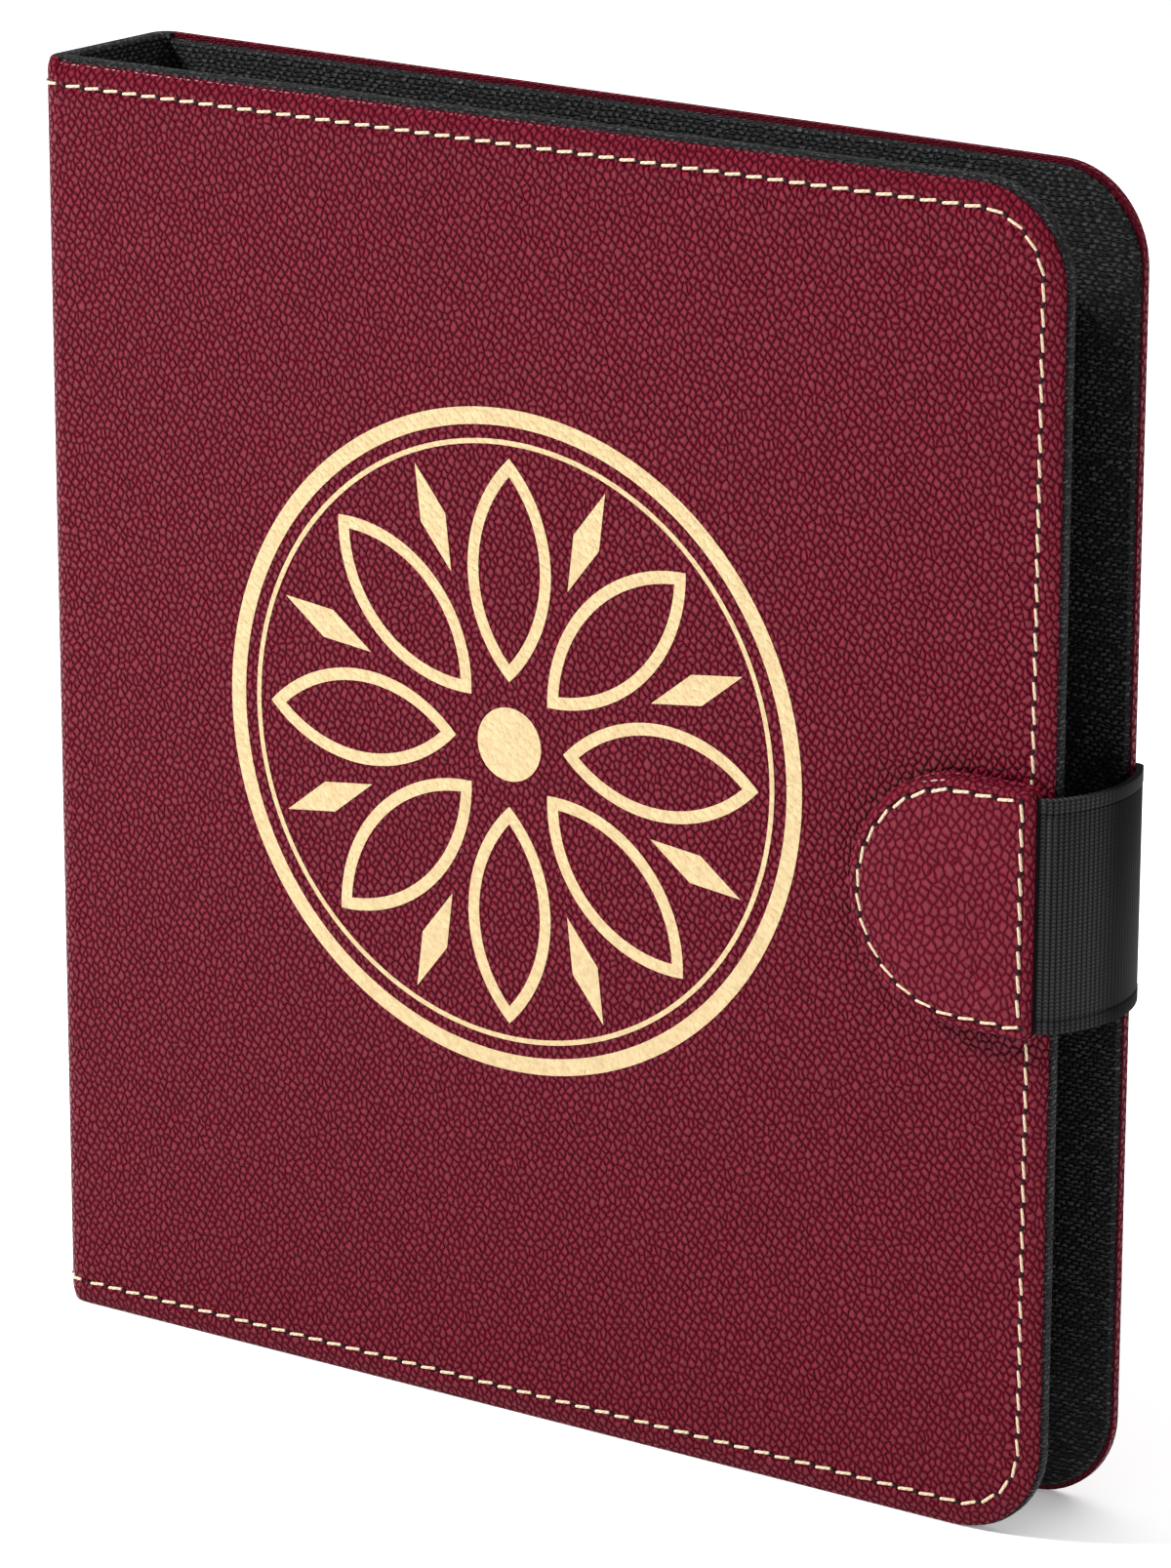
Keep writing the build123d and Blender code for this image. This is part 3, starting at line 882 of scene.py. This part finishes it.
def copies(source, name, places):
    """Copy a piece to each place, and join the copies into one piece."""
    made = []
    for place in places:
        copy = source.copy()
        copy.data = source.data.copy()
        copy.data.transform(place)
        bpy.context.scene.collection.objects.link(copy)
        made.append(copy)
    alone(made[0])
    for copy in made:
        copy.select_set(True)
    if len(made) > 1:
        bpy.ops.object.join()
    joined = bpy.context.object
    joined.name = joined.data.name = name
    return joined


def turned(middle, along, outward, slant):
    """A place with X along the seam and Z out of the leather."""
    outward = Vector(outward)
    side = outward.cross(along).normalized()
    square = Matrix((along, side, outward)).transposed().to_4x4()
    return Matrix.Translation(middle) @ square @ Matrix.Rotation(slant, 4, "Z")


SLANT = radians(7)
RISE = 0.175 * MM    # half the height of a stitch's box in the frame
SUNK, KNOT_SUNK = 0.06 * MM, 0.02 * MM    # how deep a stitch and a knot lie in the leather
KNOT_GAP = 1.6 * MM    # two knots closer than this are one needle hole


def seam(name, node, outward, body):
    """A row of stitches with its knots, on the places that a stitch node gives."""
    outward = Vector(outward)
    places = stitch_places(node)
    bars = copies(stitch, name, [
        turned(middle - outward * (RISE + SUNK), along, outward, SLANT) for middle, along in places])
    between = []
    for middle, along in places:
        for way in (-0.5, 0.5):
            spot = middle + along * (way * STITCH_PITCH) - outward * (RISE + KNOT_SUNK)
            if all((spot - known).length > KNOT_GAP for known, _ in between):
                between.append((spot, along))
    knots = copies(
        knot, name + "_knots", [turned(spot, along, outward, -SLANT * 4) for spot, along in between])
    wear(cream_thread, bars)
    wear(dark_thread, knots)
    for piece in (bars, knots):
        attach(piece, body)
    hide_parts(node)
    print(name, len(places), "stitches")


FRONT_OUT = ON_FRONT.to_3x3() @ Vector(OUT)
seam("front_seam", "front_stitches", FRONT_OUT, "front_cover")
seam("back_seam", "back_stitches", (0, 1, 0), "back_cover")
seam("spine_seam", "spine_stitches", (-1, 0, 0), "spine")

# %% Stitches that go round the folds
FIRST_ON_FOLD = 1.5 * MM


def fold_seam(name, centre, angles):
    """Stitches at head and foot of a fold, where the row goes round the corner."""
    places = []
    for height in (STITCH_INSET, COVER_HEIGHT - STITCH_INSET):
        for angle in angles:
            outward = Vector((cos(angle), sin(angle), 0))
            spot = centre + outward * (FOLD_RADIUS - SUNK) + Vector((0, 0, height))
            places.append(turned(spot, Vector((-outward.y, outward.x, 0)), outward, SLANT))
    bars = copies(stitch, name, places)
    wear(cream_thread, bars)
    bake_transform(bars)
    print(name, len(places), "stitches")


fold_steps = [(FIRST_ON_FOLD + count * STITCH_PITCH) / FOLD_RADIUS for count in (0, 1)]
fold_seam("front_fold_seam", front_centre, [FRONT_TURN - pi - step for step in fold_steps])
fold_seam("back_fold_seam", back_centre, [pi / 2 + step for step in fold_steps])

# %% [markdown]
# ## The padded tab
#
# The tab is a D of leather over a thin pad, with its edges turned to the back. A block gets a round nose and
# small corners by bevels, then a full rounded rim, a sewn channel and a low crown in the middle. Its backing
# is a second D, set half a millimetre further out, so that the turned edge shows as two rolls with a crease
# between them. Cloth simulation would add little here: the pad is thin and the seam holds the edge flat.

# %% Tab
STRAP_MIDDLE = (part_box("elastic_span")[0].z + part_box("elastic_span")[1].z) / 2
TAB_LENGTH = 35.8 * MM
TAB_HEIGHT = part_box("tab_leather")[1].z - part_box("tab_leather")[0].z
TAB_FORE_GAP = 1.5 * MM
TAB_FOOT, TAB_TOP = 2.0 * MM, 4.0 * MM    # heights of the upper leather above the front cover
BACKING_FOOT, BACKING_TOP = 1.2 * MM, 2.15 * MM
BACKING_RIM = 0.42 * MM
TAB_CORNER = 2.4 * MM
TAB_ROLL = 0.5 * MM    # how far the backing stands out round the upper leather


def rounded_d(name, low_rise, high_rise, inset):
    """A D-shaped plate on the front cover, between two heights above it, in edit mode."""
    right = COVER_WIDTH - TAB_FORE_GAP - inset
    left = COVER_WIDTH - TAB_FORE_GAP - TAB_LENGTH + inset
    half = TAB_HEIGHT / 2 - inset
    piece = block(name, (left, -high_rise, STRAP_MIDDLE - half), (right, -low_rise, STRAP_MIDDLE + half))
    middle = (left + right) / 2
    choose_edges(piece, lambda a, b: max(a.x, b.x) < middle and abs(a.z - b.z) < 0.1 * MM)
    bevel(half * 0.998, 20)
    choose_edges(piece, lambda a, b: min(a.x, b.x) > right - 0.1 * MM and abs(a.z - b.z) < 0.1 * MM)
    bevel(TAB_CORNER - inset, 6)
    return piece


def rings(piece, direction, steps):
    """Raise a face in rings, given as widths and rises in mm. A scaled ring never crosses itself."""
    choose_flat(piece, direction)
    points = [vert.co for vert in bmesh.from_edit_mesh(piece.data).verts if vert.select]
    low = Vector([min(point[axis] for point in points) for axis in range(3)])
    high = Vector([max(point[axis] for point in points) for axis in range(3)])
    size = high - low
    for width, rise in steps:
        bpy.ops.mesh.extrude_region_move(
            TRANSFORM_OT_translate={"value": [part * rise * MM for part in direction]})
        share = [(size[axis] - 2 * width * MM) / size[axis] for axis in (0, 2)]
        bpy.ops.transform.resize(value=(share[0], 1, share[1]), center_override=(low + high) / 2)
        size -= Vector((2 * width * MM, 0, 2 * width * MM))


CHANNEL_AND_CROWN = (
    (0.2, 0), (0.45, -0.34), (0.5, 0.34), (0.5, 0.10), (1.5, 0.15), (4, 0.14), (6, 0.06), (3, 0))
tab_cover = rounded_d("tab_cover", TAB_FOOT, TAB_TOP, TAB_ROLL)
round_rim(tab_cover, IN, 0.5 * MM, 3)
round_rim(tab_cover, OUT, 1.1 * MM, 5)
rings(tab_cover, OUT, CHANNEL_AND_CROWN)
finished(tab_cover, ON_FRONT, sharp=60)

tab_back = rounded_d("tab_backing_skin", BACKING_FOOT, BACKING_TOP, 0)
round_rim(tab_back, IN, BACKING_RIM, 3)
round_rim(tab_back, OUT, BACKING_RIM, 3)
finished(tab_back, ON_FRONT, sharp=60)
for piece, top in ((tab_cover, TAB_TOP), (tab_back, BACKING_TOP)):
    rolled_map(piece, (ON_FRONT @ Matrix.Translation((0, -top, 0))).inverted())
wear(tab_skin, tab_cover, tab_back)
stand_in(tab_cover, "tab", "tab_leather")
stand_in(tab_back, "tab", "tab_backing")
seam("tab_seam", "tab_stitches", FRONT_OUT, "tab")
print("tab:", round(TAB_LENGTH / MM, 1), "by", round(TAB_HEIGHT / MM, 1), "mm")

# %% Anchor patch on the back
PATCH_CORNER, PATCH_RIM = 5 * MM, 0.9 * MM
PATCH_CHANNEL_AND_CROWN = ((0.9, 0), (0.5, -0.3), (0.5, 0.3), (1.0, 0.1), (4, 0.1))
anchor_low, anchor_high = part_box("anchor_patch")
patch = block("anchor_patch_skin", anchor_low, anchor_high)
choose_edges(patch, lambda a, b: abs(a.y - b.y) > 0.1 * MM)
bevel(PATCH_CORNER, 6)
round_rim(patch, IN, PATCH_RIM, 4)
rings(patch, IN, PATCH_CHANNEL_AND_CROWN)
finished(patch, sharp=60)
rolled_map(patch, Matrix.Translation((0, anchor_high.y, 0)) @ Matrix.Rotation(pi, 4, "X"))
wear(tab_skin, patch)
stand_in(patch, "back_cover", "anchor_patch")
seam("anchor_seam", "anchor_stitches", (0, 1, 0), "back_cover")

# %% [markdown]
# ## The elastic strap
#
# The strap's middle line is three arcs: out of the tab, across the fore-edge in a wide bow, and round the
# back cover's edge. The section is a flat strip with a plain band along each edge, and it is spun along the
# arcs. It is made in two halves that meet in the middle of the bow, because each half bends at its own end:
# one where the strap is sewn to the back, the other at the tab.

# %% Strap path
ELASTIC = 1.2 * MM
MOUTH_BEND, SPAN_BEND, EDGE_BEND = 3.0 * MM, 22.0 * MM, 1.2 * MM
edge_centre, mouth_centre = hinge_at["strap_swing"].copy(), hinge_at["tab_peel"].copy()
edge_centre.z = mouth_centre.z = 0
between_bends = edge_centre - mouth_centre
mouth_arm, edge_arm = SPAN_BEND - MOUTH_BEND, SPAN_BEND - EDGE_BEND
reach = (mouth_arm ** 2 - edge_arm ** 2 + between_bends.length ** 2) / (2 * between_bends.length)
sideways = sqrt(mouth_arm ** 2 - reach ** 2)
unit = between_bends.normalized()
span_centre = mouth_centre + unit * reach + Vector((-unit.y, unit.x, 0)) * sideways


def heading(vector):
    return atan2(vector.y, vector.x)


mouth_angle = LEAN - pi / 2
span_angle = heading(mouth_centre - span_centre)
edge_angle = heading(edge_centre - span_centre)
bow_middle = (span_angle + edge_angle) / 2
print("bow of", round(SPAN_BEND / MM), "mm radius over", round(abs(edge_angle - span_angle), 2), "radians")

# %% Strap section
STRAP_LOW, STRAP_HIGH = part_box("elastic_span")[0].z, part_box("elastic_span")[1].z
BAND = 2.2 * MM
GROOVE, GROOVE_DEPTH = 0.3 * MM, 0.28 * MM
MIDDLE_DROP = 0.08 * MM    # the ribbed middle is this much thinner, on each side, than the bands


def strap_section(name, centre, angle, radius):
    """The strip's cross-section: a face that stands at an angle from a bend's centre, in edit mode."""
    bpy.ops.object.select_all(action="DESELECT")
    bpy.ops.mesh.primitive_plane_add(size=1)
    piece = bpy.context.object
    piece.name = piece.data.name = name
    piece.scale = (ELASTIC, STRAP_HIGH - STRAP_LOW, 1)
    piece.rotation_euler = (pi / 2, 0, 0)
    alone(piece)
    bpy.ops.object.transform_apply()
    piece.location = (radius, 0, (STRAP_LOW + STRAP_HIGH) / 2)
    bpy.ops.object.transform_apply()
    bpy.ops.object.mode_set(mode="EDIT")
    for edge, way in ((STRAP_LOW, 1), (STRAP_HIGH, -1)):
        for step in (BAND, BAND + GROOVE / 2, BAND + GROOVE):
            bpy.ops.mesh.select_all(action="SELECT")
            bpy.ops.mesh.bisect(plane_co=(0, 0, edge + way * step), plane_no=(0, 0, 1))
    bpy.ops.mesh.select_mode(type="VERT")
    mesh = bmesh.from_edit_mesh(piece.data)
    for vert in mesh.verts:
        from_edge = min(vert.co.z - STRAP_LOW, STRAP_HIGH - vert.co.z)
        out = 1 if vert.co.x > radius else -1
        if abs(from_edge - BAND - GROOVE / 2) < GROOVE / 4:
            vert.co.x -= out * GROOVE_DEPTH
        elif from_edge > BAND + GROOVE / 2:
            vert.co.x -= out * MIDDLE_DROP
    bmesh.update_edit_mesh(piece.data)
    bpy.ops.object.mode_set(mode="OBJECT")
    piece.matrix_world = Matrix.Translation(centre) @ Matrix.Rotation(angle, 4, "Z")
    bpy.ops.object.transform_apply()
    bpy.ops.object.mode_set(mode="EDIT")
    bpy.ops.mesh.select_all(action="SELECT")
    return piece


def strap_map(piece):
    """A UV map with U along the strap, from the mouth, and V across it, in metres."""
    layer = piece.data.uv_layers[0]
    for loop in piece.data.loops:
        point = piece.data.vertices[loop.vertex_index].co
        layer.data[loop.index].uv = ((heading(point - span_centre) - span_angle) * SPAN_BEND, point.z)


# %% Strap halves
UNDER_PATCH = 5.5 * MM    # straight end that goes under the anchor patch
tab_half = strap_section("strap_to_tab", mouth_centre, mouth_angle, MOUTH_BEND)
spin(span_angle - mouth_angle, mouth_centre, 8)
spin(bow_middle - span_angle, span_centre, 18)
finished(tab_half, sharp=70)
strap_map(tab_half)

back_half = strap_section("strap_to_back", span_centre, bow_middle, SPAN_BEND)
spin(edge_angle - bow_middle, span_centre, 18)
spin(pi / 2 - edge_angle, edge_centre, 10)
bpy.ops.mesh.extrude_region_move(TRANSFORM_OT_translate={"value": (-UNDER_PATCH, 0, 0)})
finished(back_half, sharp=70)
strap_map(back_half)
wear(strap_elastic, tab_half, back_half, "elastic_anchor", "elastic_tab_end")
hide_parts("elastic_span")
for piece in (tab_half, back_half):
    print(piece.name, len(piece.data.polygons), "faces")

# %% [markdown]
# ## Pages
#
# Each page is a stiff black leaf, which the frame already has, with two clear films welded to each side.
# A film covers a column of two pockets. Its edges and the line between the pockets are pressed flat by the
# weld, and the pockets stand a little proud. One page's films are modelled flat and copied to each leaf.

# %% Pocket films
POCKET_WIDTH, WELD = 70 * MM, 2 * MM
LEAF, FILM = 0.35 * MM, 0.1 * MM
FORE_GAP, BINDING = 11 * MM, 1.85 * MM    # in front of the fore-edge, and behind the page's hinge
PAGE_WIDTH = COVER_WIDTH - FORE_GAP - (COVER + BINDING)
PAGE_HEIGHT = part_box("page_01")[1].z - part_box("page_01")[0].z
PAGE_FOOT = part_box("page_01")[0].z
FILM_WIDTH = POCKET_WIDTH + WELD
FILM_EDGE = 4 * MM
POCKET_PUFF = 0.13 * MM


def film_strip(left):
    """A film over one column of pockets, on the -Y side of a leaf that lies on Y = 0."""
    piece = block(
        "film", (left, -LEAF / 2 - FILM, WELD), (left + FILM_WIDTH, -LEAF / 2, PAGE_HEIGHT - WELD))
    bpy.ops.mesh.select_all(action="SELECT")
    bpy.ops.mesh.bisect(plane_co=(0, 0, PAGE_HEIGHT / 2), plane_no=(0, 0, 1))
    choose_faces(piece, lambda middle, normal: normal.y < -0.99)
    bpy.ops.mesh.inset(thickness=WELD / 2, depth=0, use_individual=True)
    bpy.ops.mesh.inset(thickness=WELD, depth=POCKET_PUFF, use_individual=True)
    return finished(piece, sharp=25)


film_lefts = [PAGE_WIDTH - FILM_EDGE - FILM_WIDTH, PAGE_WIDTH - FILM_EDGE - 2 * FILM_WIDTH - WELD]
near_films = [film_strip(left) for left in film_lefts]
to_far_side = Matrix.Translation((0, 0, PAGE_HEIGHT)) @ Matrix.Rotation(pi, 4, "X")
to_next_column = Matrix.Translation((film_lefts[1] - film_lefts[0], 0, 0))
one_side = copies(near_films[0], "one_side", [Matrix.Identity(4), to_next_column])
page_films = copies(one_side, "page_films", [Matrix.Identity(4), to_far_side])

page_names = sorted(body for body in frame["bodies"] if body.startswith("page_"))
for body in page_names:
    hinge = hinge_at[body.replace("page", "page_turn")]
    tilt = LEAN * (BACK_Y - hinge.y) / SPINE_DEPTH
    place = Matrix.Translation((hinge.x, hinge.y, PAGE_FOOT)) @ Matrix.Rotation(tilt, 4, "Z")
    films = copies(page_films, body.replace("page", "films"), [place])
    wear(film_finish, films)
    stand_in(films, body, body + "_pockets")
wear(leaf_plastic, "page_binding", *page_names)
for spare in (*near_films, one_side, page_films, stitch, knot):
    bpy.data.objects.remove(spare)
print("pages:", len(page_names), "of", round(PAGE_WIDTH / MM, 2), "by", round(PAGE_HEIGHT / MM, 1), "mm")

# %% [markdown]
# ## What stays from the frame
#
# The spine's board is sealed in, and the ornament and the two grip patches already have their true shapes,
# so these nodes stay and only get their finishes. The covers' boards give way to the smaller sheets.

# %% Finishes for the frame's own nodes
wear(board_finish, "spine_board", back_board, front_board)
stand_in(back_board, "back_cover", "back_board")
stand_in(front_board, "front_cover", "front_board")
wear(foil_finish, "foil_ornament")
wear(loop_pile, "loop_patch", "hook_patch")
print("finishes:", sorted(material.name for material in bpy.data.materials))

# %% [markdown]
# ## What moves with what
#
# Flat pieces ride on their own part. The folds and the two halves of the strap stay fixed where they were
# made, and the frame's fold nodes are hidden.

# %% Ride, and the folds stay
stand_in(front_skin, "front_cover", "front_leather")
stand_in(front_lining, "front_cover", "front_lining")
stand_in(back_skin, "back_cover", "back_leather")
stand_in(back_lining, "back_cover", "back_lining")
stand_in(spine_skin, "spine", "spine_leather")
stand_in(spine_lining, "spine", "spine_lining")
for piece in (front_fold, front_fold_lining):
    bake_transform(piece)
for piece in (back_fold, back_fold_lining):
    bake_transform(piece)
for piece, node, slot in (
        (front_fold, "front_fold_leather", "leather"), (front_fold_lining, "front_fold_lining", "lining"),
        (back_fold, "back_fold_leather", "leather"), (back_fold_lining, "back_fold_lining", "lining")):
    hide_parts(node)

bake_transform(back_half)
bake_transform(tab_half)
